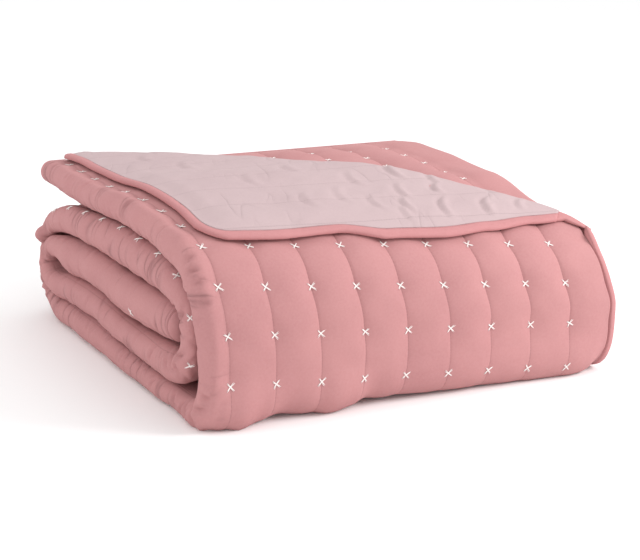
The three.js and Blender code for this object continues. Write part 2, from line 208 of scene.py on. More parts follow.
def ripple(u, v, wavelength, seed, waves=7):
    """Soft unevenness between about -1 and 1: a few sine waves in seeded directions."""
    draw = np.random.default_rng(seed)
    total = 0
    for _ in range(waves):
        angle = draw.uniform(0, math.pi)
        length = wavelength * draw.uniform(0.7, 1.5)
        phase = draw.uniform(0, 2 * math.pi)
        across = u * math.cos(angle) + v * math.sin(angle)
        total = total + np.sin(2 * math.pi * across / length + phase)
    return total / math.sqrt(2 * waves)


# The path of the band

def catmull_rom(points, count):
    """Points along a centripetal Catmull-Rom curve, at even steps of its parameter."""
    before, after = 2 * points[0] - points[1], 2 * points[-1] - points[-2]
    padded = np.vstack([before, points, after])
    last = len(points) - 1
    place = np.linspace(0, last, count + 1)
    knot = np.minimum(place.astype(int), last - 1)
    f = (place - knot)[:, None]
    p0, p1, p2, p3 = (padded[knot + i] for i in range(4))
    pairs = ((p0, p1), (p1, p2), (p2, p3))
    d0, d1, d2 = (np.sqrt(np.linalg.norm(b - a, axis=1))[:, None] for a, b in pairs)
    d1 = np.where(d1 < 1e-4, 1.0, d1)
    d0 = np.where(d0 < 1e-4, d1, d0)
    d2 = np.where(d2 < 1e-4, d1, d2)
    m1 = ((p1 - p0) / d0 - (p2 - p0) / (d0 + d1) + (p2 - p1) / d1) * d1
    m2 = ((p2 - p1) / d1 - (p3 - p1) / (d1 + d2) + (p3 - p2) / d2) * d1
    return p1 + m1 * f + (3 * (p2 - p1) - 2 * m1 - m2) * f**2 + (2 * (p1 - p2) + m1 + m2) * f**3


KNOTS = np.array([row for part in ROLL for row in part], float)
SAMPLES = 40 * len(KNOTS)
PATH_LINE = catmull_rom(KNOTS[:, :3], SAMPLES)
PATH_ENDS = catmull_rom(KNOTS[:, 3:], SAMPLES)
PATH = dict(zip(COLUMNS, np.hstack([PATH_LINE, PATH_ENDS]).T))
STEPS = np.hypot(np.diff(PATH["y"]), np.diff(PATH["z"]))
PATH_T = np.concatenate([[0], np.cumsum(STEPS)])
LENGTH = PATH_T[-1]


def along(t, name):
    """A column of the path at places t along the band."""
    high = np.clip(np.searchsorted(PATH_T, t), 1, SAMPLES)
    share = (t - PATH_T[high - 1]) / (PATH_T[high] - PATH_T[high - 1])
    return mix(PATH[name][high - 1], PATH[name][high], share)


def heading(t):
    step = 3
    dy = along(t + step, "y") - along(t - step, "y")
    dz = along(t + step, "z") - along(t - step, "z")
    return np.arctan2(dz, dy)


def turning(t):
    """How fast the band turns at t, in radians a millimetre."""
    step = 6
    turn = heading(t + step) - heading(t - step)
    return np.abs(np.arctan2(np.sin(turn), np.cos(turn))) / (2 * step)


def on_band(x, t, n):
    """Points of the band, in metres: x across the cloth, t along it, n outwards from its middle."""
    x, t, n = np.broadcast_arrays(np.asarray(x, float), t, n)
    angle = heading(t)
    left, right = along(t, "left"), along(t, "right")
    px = left + x * (right - left) / CLOTH_EDGE
    py = along(t, "y") + n * np.sin(angle)
    pz = along(t, "z") - n * np.cos(angle)
    pz = pz * (1 + eased(RIGHT_END_LIFT, py) * px / FOLDED_WIDTH)
    pz = np.where(pz < FLOOR_EASE, 0, pz)
    return np.stack([px - MIDDLE[0], py - MIDDLE[1], pz], axis=-1) * MM


def layer_of(thick):
    """Thickness of one of the three layers of cloth in a band."""
    return thick / 3 - 2 / 3 * LAYER_GAP


# Relief of the padding

OUTER_FACE = on_band(0, PATH_T, PATH["thick"] / 2) / MM
OUTER_STEPS = np.linalg.norm(np.diff(OUTER_FACE, axis=0), axis=1)
OUTER_LENGTH = np.concatenate([[0], np.cumsum(OUTER_STEPS)])
ON_FRONT = (PATH_T > 445) & (PATH_T < 560)
FRONT_PLACE = np.interp(-FRONT_ROW[1], -OUTER_FACE[ON_FRONT, 2], OUTER_LENGTH[ON_FRONT])
FIRST_STITCH = FRONT_PLACE - STITCH_SKEW * FRONT_ROW[0]


def outer_length(t):
    """Length along the outer face, by the place along the middle of the band."""
    return np.interp(t, PATH_T, OUTER_LENGTH)


def stitch_row(u, t):
    """Number of the row of crosses, with its fraction: 0 is the first row down the front."""
    return (outer_length(t) - FIRST_STITCH - STITCH_SKEW * u) / STITCH_PITCH


def rib_height(u, t):
    """Height of the cloth over its flat face: ribs between the lines, dents at the crosses."""
    place = (u - FIRST_LINE) / LINE_PITCH
    rib = np.abs(np.sin(math.pi * np.minimum(place, LINE_COUNT - 0.5))) ** 0.62
    line_u = FIRST_LINE + np.round(place) * LINE_PITCH
    row = stitch_row(line_u, t)
    off_t = (row - np.round(row)) * STITCH_PITCH
    slack = (0.82 + 0.18 * ripple(u, t, 160, 5)) * eased(RIB_STRENGTH, t)
    height = RIB_BASE * slack + RIB_HEIGHT * slack * rib
    dent = bell(np.hypot((u - line_u) * 0.85, off_t * 0.62), DENT_RADIUS)
    from_row = (stitch_row(u, t) + 1) * STITCH_PITCH
    garland = bell(from_row + GARLAND_WIDTH * rib**2, GARLAND_WIDTH) * rib
    return height - DENT_DEPTH * dent * np.minimum(slack + 0.3, 1) - GARLAND_DEPTH * garland


def body_waves(u, t):
    return 0.9 * ripple(u, t, 120, 11) + 0.35 * ripple(u, t, 42, 12)


def bared_relief(x, t):
    """Height of the layer that the turned corner has laid bare, over its flat face."""
    return rib_height(x, t) * BARED_SWELL + body_waves(x, t)


def exposure(t):
    """1 where the band shows, less where it is hidden in the middle of the roll."""
    return 1 - 0.75 * smooth(*ROLLED_IN, t)


def front_sag(u, t):
    """How far the lower front hangs forwards over its flat face."""
    return 0.8 * eased(FRONT_SAG, u) * bell(t - SAG_PLACE, SAG_WIDTH)


def under_corner(x, t):
    """1 where the turned corner lies on the face, 0 beside it."""
    w = TOP_LENGTH - t
    ahead = smooth(-3, 7, w - eased(FRONT_EDGE, x) + BINDING)
    beside = smooth(-3, 7, x - eased(LEFT_EDGE, w) + BINDING)
    return ahead * beside


def face_relief(x, t):
    """Height of the outer face over the flat section."""
    exposed = exposure(t)
    height = rib_height(x, t) * mix(0.6, 1, exposed) + body_waves(x, t) * exposed + front_sag(x, t)
    return np.minimum(height, mix(30, 0.3, under_corner(x, t) ** 0.25))


# Creases across the round left folds. The main ones are listed: y and z of the band
# there, the angle round the fold, how far they reach round it, their depth, width and slant. The
# last one is a bulge.
PLACED_CREASES = [
    (40, 157, 130, 26, 3.5, 1.7, 0.12),
    (32, 149, 134, 24, 4.3, 1.6, -0.08),
    (26, 142, 126, 30, 3.5, 1.7, 0.10),
    (20, 128, 122, 22, 2.9, 1.7, -0.10),
    (51, 106, 170, 34, 4.1, 1.7, 0.15),
    (49, 66, 185, 36, 4.6, 1.8, 0.20),
    (55, 57, 180, 40, 5.5, 1.9, -0.15),
    (64, 51, 188, 34, 4.9, 1.8, 0.10),
    (78, 48, 195, 30, 3.8, 1.8, 0.15),
    (120, 45, 190, 24, 2.9, 2.0, -0.10),
    (72, 12.6, 195, 34, 4.1, 1.7, 0.10),
    (122, 12.8, 200, 28, 3.2, 1.9, -0.10),
    (17, 38, 150, 30, 3.5, 1.7, -0.10),
    (19, 26, 158, 36, 4.9, 1.8, 0.15),
    (26, 17, 168, 40, 5.5, 1.8, -0.10),
    (38, 13, 180, 38, 5.2, 1.9, 0.12),
    (52, 12.6, 190, 32, 4.1, 1.8, -0.10),
    (455, 28, 180, 40, 2.8, 1.9, -0.10),
    (463, 38, 185, 44, 2.9, 2.0, 0.10),
    (468, 56, 178, 36, 2.5, 2.0, -0.12),
    (465, 82, 184, 44, 2.9, 2.0, 0.10),
    (449, 104, 180, 40, 2.6, 2.0, 0.12),
    (441, 62, 180, 32, 2.5, 1.8, 0.10),
    (440, 80, 184, 32, 3.8, 1.8, -0.10),
    (458, 96, 185, 40, -9.0, 7.0, 0.00),
]


def place_along(y, z):
    return PATH_T[np.argmin(np.hypot(PATH["y"] - y, PATH["z"] - z))]


def fold_creases():
    """All creases, as place along the band, angle, reach, depth, width and slant."""
    draw = np.random.default_rng(31)
    creases = [(place_along(y, z), *rest) for y, z, *rest in PLACED_CREASES]
    t = 20.0
    while t < LENGTH - 20:
        bend = min(1.0, float(turning(t)) / 0.03)
        deep = draw.uniform(0.8, 2.0) * mix(1.0, 1.7, bend)
        if draw.random() < 0.35:
            centre, reach = draw.uniform(105, 135), draw.uniform(18, 34)
        else:
            centre, reach = draw.uniform(210, 250), draw.uniform(24, 50)
        creases.append((t, centre, reach, deep, draw.uniform(1.4, 2.2), draw.uniform(-0.16, 0.16)))
        t += draw.uniform(8, 24) * mix(1.0, 0.6, bend)
    return creases


def crease_depth(t, degrees):
    """Depth of the creases at places along the band and angles round its left fold."""
    depth = np.zeros(np.broadcast(t, degrees).shape)
    for place, centre, reach, deep, width, slant in FOLD_CREASES:
        off = t - place - slant * (degrees - centre)
        valley = bell(off, width) - 0.35 * bell(np.abs(off) - 2.6 * width, 1.1 * width)
        depth += deep * valley * bell(degrees - centre, reach * 0.6)
    return depth


FOLD_CREASES = fold_creases()


def left_relief(t, degrees):
    """Height of the round left fold over a true half round, by angle."""
    half = along(t, "thick") / 2
    u = half + np.radians(90 - degrees) * half
    swell = 0.8 + 1.2 * ripple(0, t, 90, 21) + 0.6 * ripple(0, t, 37, 22)
    height = swell * np.sin(np.radians(degrees - 90)) - crease_depth(t, degrees)
    height = height + (rib_height(u, t) + body_waves(u, t) * exposure(t)) * smooth(150, 95, degrees)
    return height + front_sag(np.maximum(u, 0), t) * smooth(230, 120, degrees)


# Meshes

def add_object(name, data):
    piece = bpy.data.objects.new(name, data)
    bpy.context.scene.collection.objects.link(piece)
    return piece


def add_mesh(name, points, faces, uvs=None):
    """A smooth object of points and faces, with a place on the cloth for each point."""
    mesh = bpy.data.meshes.new(name)
    mesh.from_pydata(np.asarray(points, float).tolist(), [], faces)
    mesh.validate()
    if uvs is not None:
        layer = mesh.uv_layers.new(name="cloth")
        corners = np.zeros(len(mesh.loops), int)
        mesh.loops.foreach_get("vertex_index", corners)
        layer.data.foreach_set("uv", np.asarray(uvs, np.float32)[corners].ravel())
    mesh.shade_smooth()
    return add_object(name, mesh)


def cloth_uvs(u, v):
    """Places on the cloth for a grid of points, in metres."""
    return np.stack(np.broadcast_arrays(u, v), axis=-1).reshape(-1, 2) * MM


def sheet_faces(columns, rows, start=0):
    """Faces of a closed sheet: two faces of columns by rows points, and the rim between them."""
    def at(side, i, j):
        return start + (side * columns + i) * rows + j

    faces = []
    for i in range(columns - 1):
        for j in range(rows - 1):
            faces.append((at(0, i, j), at(0, i, j + 1), at(0, i + 1, j + 1), at(0, i + 1, j)))
            faces.append((at(1, i, j), at(1, i + 1, j), at(1, i + 1, j + 1), at(1, i, j + 1)))
    for i in range(columns - 1):
        faces.append((at(0, i, 0), at(0, i + 1, 0), at(1, i + 1, 0), at(1, i, 0)))
        top = rows - 1
        faces.append((at(0, i, top), at(1, i, top), at(1, i + 1, top), at(0, i + 1, top)))
    for j in range(rows - 1):
        faces.append((at(0, 0, j), at(1, 0, j), at(1, 0, j + 1), at(0, 0, j + 1)))
        end = columns - 1
        faces.append((at(0, end, j), at(0, end, j + 1), at(1, end, j + 1), at(1, end, j)))
    return faces


def ring_faces(rings, size, start=0):
    """Faces of a capped tube through closed rings of size points."""
    faces = []
    for r in range(rings - 1):
        for k in range(size):
            a, b = start + r * size + k, start + r * size + (k + 1) % size
            faces.append((a, b, b + size, a + size))
    faces.append(tuple(start + k for k in reversed(range(size))))
    faces.append(tuple(start + (rings - 1) * size + k for k in range(size)))
    return faces


def outward(piece):
    """Turns the faces of a closed mesh outwards."""
    work = bmesh.new()
    work.from_mesh(piece.data)
    bmesh.ops.recalc_face_normals(work, faces=work.faces)
    work.to_mesh(piece.data)
    work.free()
    return piece


# The quilt

UNIT = 2.5  # finest step along the band
ARC_STEPS = 25  # columns round the left fold
RIB_PLACES = (1.2, 3.2, 7, 13, 21, 29, 37, 43, 46.8, 48.8, 50)  # columns after each line
MIDDLE_PLACES = (2, 6, 14, 25, 36, 44, 48, 50)
MIDDLE_END = 425.0  # from here on the middle layer runs evenly into the right fold
SQUEEZE = 24.0  # the last columns are squeezed into this width at the diagonal
MESH_CUTS = (400, 720, 1110, 1300)  # places along the band where the mesh changes its step


def rib_columns(places, first, last):
    """Places of the columns over the ribs from one line to another, finest at the lines."""
    columns = []
    for line in range(first, last + 1):
        start = FIRST_LINE + line * LINE_PITCH
        columns += [start + place for place in places]
    return columns


def arc(x, n, radius, start, end, steps):
    """Columns of a round fold between two angles, as (x, n, normal x, normal n)."""
    angles = np.radians(np.linspace(start, end, steps))
    ones = np.ones_like(radius)
    rows = [x + radius * np.cos(angles), n + radius * np.sin(angles)]
    rows += [ones * np.cos(angles), ones * np.sin(angles)]
    return np.stack(rows, axis=-1)


def run(xs, level, up):
    """Columns of a flat face at x places xs, all at one level."""
    xs, level = np.broadcast_arrays(xs, level)
    return np.stack([xs, level, np.zeros_like(xs), np.full_like(xs, up)], axis=-1)


def evenly(start, end, count):
    """Places between start and end, without these two."""
    shares = (np.arange(count) + 1) / (count + 1)
    return start + (end - start) * shares


def folded_section(t, end, steps, faces):
    """Parts of the section at every station, in their order round it, as columns. faces gives
    the x places on the outer face, under its edge and on the middle layer."""
    thick = along(t, "thick")[:, None]
    half, layer = thick / 2, layer_of(thick)
    under, middle_top = half - layer, layer / 2
    turn, inner_turn = (half + middle_top) / 2, (under - middle_top) / 2
    turn_x, turn_n = FOLD_APEX - turn, turn - half
    tuck = half + TUCK
    outer, hidden, middle = faces(half, turn_x, tuck)
    left_steps, inner_steps, right_steps, flat_steps, tuck_steps = steps
    tip = [run(end, half - TIP_ROUND, 0.0), run(end, under + TIP_ROUND, 0.0)]
    inside = [
        run(hidden, under, 0.0),
        arc(half, 0, under, 90, 270, inner_steps),
        run(evenly(half, turn_x, flat_steps), -under, 0.0),
        arc(turn_x, turn_n, inner_turn, 270, 450, 5),
        run(evenly(turn_x, tuck, tuck_steps), -middle_top, 0.0),
        run(tuck, -middle_top, 0.0),
        run(tuck, middle_top, 0.0),
    ]
    parts = {
        "left": arc(half, 0, half, 270, 90, left_steps),
        "outer": run(outer, half, 1.0),
        "tip": np.concatenate(tip, axis=1),
        "inside": np.concatenate(inside, axis=1),
        "middle": run(middle, middle_top, 1.0),
        "right": arc(turn_x, turn_n, turn, 90, -90, right_steps),
        "base": run(evenly(turn_x, half, flat_steps), -half, -1.0),
    }
    return parts, half


def quilt_section(t):
    """Columns of the quilt's section, where each part begins and ends, and half the thickness."""
    end = np.minimum(OUTER_END, FOLD_SUM - TOP_LENGTH + t[:, None])

    def faces(half, turn_x, tuck):
        lead = half + (FIRST_LINE - half) * np.array([1, 2, 3]) / 3
        ribs = np.array([c for c in rib_columns(RIB_PLACES, 0, LINE_COUNT - 1) if c < OUTER_END])
        order = np.arange(len(ribs)) / (len(ribs) - 1)
        limit = end - SQUEEZE
        share = np.clip((ribs - limit) / (OUTER_END - limit), 0, 1)
        squeezed = limit + SQUEEZE * share * (0.98 + 0.02 * order)
        ribs = np.where(ribs < limit, ribs, squeezed)
        plain = rib_columns(MIDDLE_PLACES, 0, LINE_COUNT - 2)
        share = (np.array(plain) - FIRST_LINE) / (plain[-1] - FIRST_LINE)
        middle = tuck + share * (MIDDLE_END - tuck)
        middle = np.where(t[:, None] < TOP_LENGTH, np.maximum(plain, tuck + 2), middle)
        flange = evenly(np.full_like(turn_x, MIDDLE_END), turn_x, 4)
        hidden = evenly(end - 4 * TIP_ROUND, half, 5)
        return np.hstack([lead, ribs]), hidden, np.hstack([middle, flange])

    parts, half = folded_section(t, end, (ARC_STEPS, 7, 11, 6, 5), faces)
    ends = np.cumsum([0] + [part.shape[1] for part in parts.values()]).tolist()
    spans = dict(zip(parts, zip(ends, ends[1:])))
    return np.concatenate(list(parts.values()), axis=1), spans, half


def quilt_relief(t, section, spans, left_angle):
    """How far the columns stand off along their normals."""
    time = np.broadcast_to(t[:, None], section.shape[:2])
    x = section[..., 0]
    lift = np.zeros(section.shape[:2])
    names = ("left", "outer", "middle", "right")
    left, outer, middle, right = (slice(*spans[name]) for name in names)
    lift[:, left] = left_relief(time[:, left], np.broadcast_to(left_angle, time[:, left].shape))
    lift[:, outer] = face_relief(x[:, outer], time[:, outer])
    shown = smooth(BARED_END, TOP_LENGTH, t)[:, None]
    lift[:, middle] = bared_relief(x[:, middle], time[:, middle]) * shown
    over = np.linspace(0, math.pi, right.stop - right.start)
    lift[:, right] = 0.9 * ripple(0, t, 70, 23)[:, None] * np.sin(over)
    return lift


def quilt_blocks(t, spans, total):
    """Blocks of stations and columns, each with its own step along and across."""
    def station(place):
        return int(4 * round(np.searchsorted(t, place) / 4))

    last = len(t) - 1
    outer0, outer1 = spans["outer"]
    rib0 = outer0 + 2
    middle0, middle1 = spans["middle"]
    right1 = spans["right"][1]
    top, front, back, roll = (station(place) for place in MESH_CUTS)
    stretches = [(0, top, 2, 1), (top, front, 1, 1), (front, back, 4, 2), (back, roll, 2, 1)]
    stretches += [(roll, last, 4, 2)]
    bared = station(BARED_END)
    blocks = [(0, last, 1, 0, rib0, 1)]
    blocks += [(start, end, step, rib0, outer1, across) for start, end, step, across in stretches]
    blocks += [
        (0, last, 4, outer1, middle0, 1),
        (0, bared, 2, middle0, middle1, 1),
        (bared, last, 4, middle0, middle1, 4),
        (0, last, 2, middle1, right1, 1),
        (0, last, 4, right1, total, 1),
    ]
    return blocks


def block_faces(blocks, stations, total):
    """Faces of a grid, closed across, whose blocks have steps of their own. A coarse face takes
    in the points that a finer neighbour has on its edges, so that the mesh stays closed."""
    used = np.zeros((stations, total), bool)
    for i0, i1, di, j0, j1, dj in blocks:
        for j in [*range(j0, j1, dj), j1]:
            used[i0:i1:di, j % total] = True
            used[i1, j % total] = True
    faces = []
    for i0, i1, di, j0, j1, dj in blocks:
        for i in range(i0, i1, di):
            up = min(i + di, i1)
            for j in range(j0, j1, dj):
                over = min(j + dj, j1)
                rim = [(i, k) for k in range(j, over)] + [(k, over) for k in range(i, up)]
                rim += [(up, k) for k in range(over, j, -1)] + [(k, j) for k in range(up, i, -1)]
                faces.append([(a, b % total) for a, b in rim if used[a, b % total]])
    faces.append([(0, k) for k in range(total) if used[0, k]])
    faces.append([(stations - 1, k) for k in reversed(range(total)) if used[stations - 1, k]])
    return faces, used


def build_quilt():
    """The whole cloth, with the padding of the turned corner."""
    margin = BINDING + FIT
    count = 4 * round((LENGTH - 2 * margin) / UNIT / 4)
    t = np.linspace(margin, LENGTH - margin, count + 1)
    section, spans, half = quilt_section(t)
    left_angle = np.linspace(270, 90, ARC_STEPS)
    lift = quilt_relief(t, section, spans, left_angle)
    ends = np.minimum(smooth(0, 14, t - margin), smooth(0, 14, LENGTH - margin - t))[:, None]
    lift = lift * ends
    x = section[..., 0] + section[..., 2] * lift
    n = section[..., 1] + section[..., 3] * lift
    points = on_band(x, t[:, None], n)
    total = section.shape[1]
    faces, used = block_faces(quilt_blocks(t, spans, total), len(t), total)
    number = np.cumsum(used).reshape(used.shape) - 1
    faces = [tuple(int(number[a, b]) for a, b in face) for face in faces]
    cloth_x = section[..., 0].copy()
    cloth_x[:, slice(*spans["left"])] = half + np.radians(90 - left_angle) * half
    uvs = cloth_uvs(cloth_x, t[:, None])[used.ravel()]
    body_points, body_faces, body_uvs = corner_body(int(used.sum()))
    points = np.vstack([points[used], body_points])
    return outward(add_mesh("quilted_cloth", points, faces + body_faces, np.vstack([uvs, body_uvs])))


# The turned corner

ROOT2 = math.sqrt(2)


def forwards(x):
    """How much of its full way along the band the turned cloth goes, by x on the diagonal."""
    return 1 - FAN * (1 - smooth(*FAN_OVER, x))


def corner_reach(x):
    """How far the corner reaches back over the cloth, from the point of the diagonal at x."""
    w = FOLD_SUM - x
    to_left = to_front = 0
    for _ in range(12):
        to_left = ROOT2 * (x - eased(LEFT_EDGE, w - forwards(x) * to_left / ROOT2))
        to_front = ROOT2 * (w - eased(FRONT_EDGE, x - to_front / ROOT2))
    blend = np.clip(0.5 + (to_front - to_left) / (2 * CORNER_ROUND), 0, 1)
    return mix(to_front, to_left, blend) - CORNER_ROUND * blend * (1 - blend)


def on_turn(x, before, turn, after, off, sink):
    """Points of the cloth near the diagonal: before it, round it by an angle, or after it."""
    w = FOLD_SUM - x
    radius = eased(TURN_RADIUS, x)
    outwards = -before + (radius + off) * np.sin(turn) - after
    along_band = outwards + after * (1 - forwards(x))
    t = TOP_LENGTH - (w + along_band / ROOT2)
    thick = along(t, "thick")
    layer = layer_of(thick)
    lowest = layer / 2 + EDGE_AIR + CORNER_EDGE_CLOTH / 2
    drop = sink * (2 * radius - lowest) * (1 - np.cos(turn)) / 2
    rise = radius - (radius + off) * np.cos(turn) - drop
    return on_band(x + outwards / ROOT2, t, thick / 2 - layer / 2 + rise)


CORNER_START_X = FOLD_SUM - TOP_LENGTH + BINDING
CORNER_END_X = FOLD_SUM - FRONT_EDGE[-1][1] - 1.5
TURN_STEPS = 10


def corner_sink(left):
    """How far the turned cloth has sunk on to the face, by the cloth left to its free edge."""
    return 1 - smooth(0, EDGE_TAPER, left)


def corner_half(x, left):
    return mix(eased(TURN_CLOTH, x), CORNER_EDGE_CLOTH, corner_sink(left)) / 2


def turn_rows(rows):
    """Angle round the diagonal fold, and share of the reach past it, of each row."""
    turns = [math.pi * j / TURN_STEPS for j in range(TURN_STEPS + 1)] + [math.pi] * rows
    shares = [0.0] * (TURN_STEPS + 1) + [(j + 1) / rows for j in range(rows)]
    return np.array(turns), np.array(shares)


# Creases of the pale reverse: from and to, as x and w on the top, then depth and width.
REVERSE_CREASES = [
    (284, 110, 278, 68, 1.2, 2.8),
    (270, 84, 266, 58, 1.0, 2.6),
    (336, 108, 316, 60, 1.6, 2.8),
    (390, 102, 367, 62, 1.6, 2.8),
    (380, 82, 371, 62, 1.0, 2.6),
    (320, 216, 315, 162, 1.3, 3.6),
    (401, 138, 404, 114, 1.0, 3.0),
    (350, 152, 335, 118, 1.4, 3.0),
    (300, 152, 291, 104, 1.1, 3.2),
    (250, 122, 245, 76, 0.9, 3.2),
    (225, 152, 214, 100, 0.8, 3.8),
    (262, 198, 255, 150, 0.9, 4.0),
    (428, 94, 412, 68, 1.2, 2.8),
    (358, 184, 350, 148, 1.1, 3.2),
    (180, 142, 171, 90, 0.7, 3.8),
    (210, 252, 205, 208, 0.8, 4.4),
    (150, 222, 140, 168, 0.7, 4.4),
    (120, 332, 111, 278, 0.7, 4.4),
    (96, 402, 91, 350, 0.6, 4.4),
]


def reverse_relief(x, w):
    """Height of the pale reverse: faint lines along x, soft creases and waves."""
    place = (w - REVERSE_LINE) / LINE_PITCH
    line = -0.55 * np.exp(-np.abs((place - np.round(place)) * LINE_PITCH) / 3.4)
    height = 0.4 + line + 0.7 * ripple(x, w, 70, 41) + 0.3 * ripple(x, w, 26, 42)
    for x0, w0, x1, w1, depth, width in REVERSE_CREASES:
        dx, dw = x1 - x0, w1 - w0
        length = math.hypot(dx, dw)
        share = ((x - x0) * dx + (w - w0) * dw) / length**2
        off = ((x - x0) * dw - (w - w0) * dx) / length
        bow = 0.12 * length * (1 - (2 * share - 1) ** 2)
        fade = smooth(-0.15, 0.3, share) * smooth(1.15, 0.7, share)
        across = off - bow
        height = height - 1.4 * depth * bell(across, 0.85 * width) * fade
        height = height + 1.5 * depth * bell(across + 1.9 * width, width) * fade
    return height


def corner_grid(columns, rows, first_turn=0):
    """Rows of the turned cloth, from the diagonal to its free edge."""
    x = np.linspace(CORNER_START_X, CORNER_END_X, columns)[:, None]
    reach = np.maximum(corner_reach(x), 1)
    turns, shares = (row[first_turn:] for row in turn_rows(rows))
    after = reach * shares
    plan_x = x - after / ROOT2
    plan_w = FOLD_SUM - x - forwards(x) * after / ROOT2
    flat = smooth(0.8, 1, turns / math.pi) * smooth(0, 12, reach - after)
    relief = reverse_relief(plan_x, plan_w) * flat
    return x, reach, turns, after, relief, plan_x, plan_w


def corner_body(first):
    """The padding of the turned corner, as points, faces and cloth places."""
    columns, rows = 60, 40
    x, reach, turns, after, relief, plan_x, plan_w = corner_grid(columns, rows)
    half = corner_half(x, reach - after)
    sink = corner_sink(reach - after)
    lower = on_turn(x, 0, turns, after, -half, sink)
    upper = on_turn(x, 0, turns, after, half - 0.4 + np.minimum(relief, 0), sink)
    before = on_turn(x, 5, 0, 0, np.array([-1, 1]) * (half[:, :1] - 0.8), 0)
    lower = np.concatenate([before[:, :1], lower], axis=1)
    upper = np.concatenate([before[:, 1:], upper], axis=1)
    points = np.concatenate([lower, upper]).reshape(-1, 3)
    plan = np.stack([plan_x, plan_w], axis=-1)
    plan = np.concatenate([plan[:, :1], plan], axis=1).reshape(-1, 2) * MM
    faces = sheet_faces(columns, lower.shape[1], first)
    return points, faces, np.concatenate([plan, plan])


def build_reverse():
    """The pale reverse, a thin sheet on the padding of the turned corner."""
    columns, rows = 200, 130
    x, reach, turns, after, relief, plan_x, plan_w = corner_grid(columns, rows, first_turn=2)
    half = corner_half(x, reach - after) + FIT + relief
    sink = corner_sink(reach - after)
    lower = on_turn(x, 0, turns, after, half, sink)
    upper = on_turn(x, 0, turns, after, half + LINING, sink)
    points = np.concatenate([lower, upper]).reshape(-1, 3)
    plan = cloth_uvs(plan_w, plan_x)
    faces = sheet_faces(columns, lower.shape[1])
    return outward(add_mesh("reverse_side", points, faces, np.concatenate([plan, plan])))


# Binding

TAPE_SIDES = 14
TAPE_SEAM = -3.2  # its seam, across from its middle
TAPE_OVERLAP = 1.4  # of the corner's tape over its cloth
TAPE_THIN = 5.0  # thickness of the tape at the end of the side edge


def tape_section(inner, outer, top, bottom):
    """Outline of a folded tape about its middle: across from inner to outer, top and bottom."""
    angles = np.linspace(0, 2 * math.pi, TAPE_SIDES, endpoint=False)
    across = np.sign(np.cos(angles)) * np.abs(np.cos(angles)) ** 0.7
    up = np.sign(np.sin(angles)) * np.abs(np.sin(angles)) ** 0.8
    across = np.where(across < 0, across * inner, across * outer)
    return across, np.where(up < 0, up * bottom, up * top)


def tape_turn(first):
    """The tape where it turns over the diagonal, from the side edge to the front edge."""
    columns, rows = 24, 7
    foot = 37.0
    x = np.linspace(CORNER_END_X - 3, CLOTH_EDGE, columns)[:, None]
    w = FOLD_SUM - x
    end = smooth(466, 485, x)
    start = ROOT2 * np.clip(np.minimum(x - OUTER_END, w - foot), 0, None)
    past = ROOT2 * np.maximum(w - eased(FRONT_EDGE, x) + BINDING, mix(5.5, 2.0, end))
    turns, shares = (np.concatenate([[0.0], row]) for row in turn_rows(rows))
    before = start * (np.arange(len(turns)) == 0)
    half = mix(2.5, 0.7, end) * np.where(shares == 1, 0.6, 1.0)
    sides = [on_turn(x, before, turns, past * shares, side * half, 1) for side in (-1, 1)]
    uvs = cloth_uvs(past * shares, x)
    faces = sheet_faces(columns, len(turns), first)
    return np.concatenate(sides).reshape(-1, 3), faces, np.concatenate([uvs, uvs])


def build_corner_binding():
    """The tape along the free edges of the turned corner."""
    columns = 260
    x = np.linspace(CORNER_START_X, CORNER_END_X, columns)[:, None]
    reach = np.maximum(corner_reach(x), 1)
    step = 1.0
    slope = (corner_reach(x + step) - corner_reach(x - step)) / (2 * step * ROOT2)
    slant = np.hypot(1, slope)
    across, up = tape_section(BINDING / 2 + TAPE_OVERLAP, BINDING / 2, 4.3, 1.6)
    wide = 1 + 0.35 * (1 - smooth(55, 95, x))
    after = reach + slant * (FIT + BINDING / 2 + across * wide)
    length = np.concatenate([[0], np.cumsum(slant[1:, 0] * (x[1, 0] - x[0, 0]) * ROOT2)])[:, None]
    pucker = 0.3 * ripple(length, 0 * length, 9, 51) + 0.4 * ripple(length, 0 * length, 40, 52)
    points = on_turn(x, 0, math.pi, after, up + pucker * np.sign(up) * 0.5, 1).reshape(-1, 3)
    uvs = cloth_uvs(across, length)
    turned, turned_faces, turned_uvs = tape_turn(len(points))
    faces = ring_faces(columns, TAPE_SIDES) + turned_faces
    points = np.concatenate([points, turned])
    return outward(add_mesh("corner_binding", points, faces, np.concatenate([uvs, turned_uvs])))


def build_side_binding():
    """The tape down the open side edge. It starts on the turned corner's tape, as high as that."""
    start = TOP_LENGTH - (FOLD_SUM - CLOTH_EDGE) - 3
    count = round((LENGTH - BINDING - FIT - start) / 4)
    t = np.linspace(start, LENGTH - BINDING - FIT, count)[:, None]
    thick = along(t, "thick")
    layer = layer_of(thick)
    across, up = tape_section(BINDING / 2, BINDING / 2, 0.5, 0.5)
    high = mix(TAPE_THIN, layer + 1.0, smooth(0, 30, t - start))
    tip = np.sqrt(smooth(-2, 8, t - start))
    rise = (layer / 2 + EDGE_AIR + CORNER_EDGE_CLOTH / 2) * (1 - smooth(0, 26, t - start))
    wave = 0.5 * ripple(0 * t, t, 60, 55)
    low, top = mix(rise, 0, tip) - high / 2, rise + high / 2
    n = thick / 2 - layer / 2 + mix(low, top, up + 0.5)
    points = on_band(CLOTH_EDGE - BINDING / 2 + across * tip + wave, t, n).reshape(-1, 3)
    uvs = cloth_uvs(across, t)
    return outward(add_mesh("side_binding", points, ring_faces(count, TAPE_SIDES), uvs))


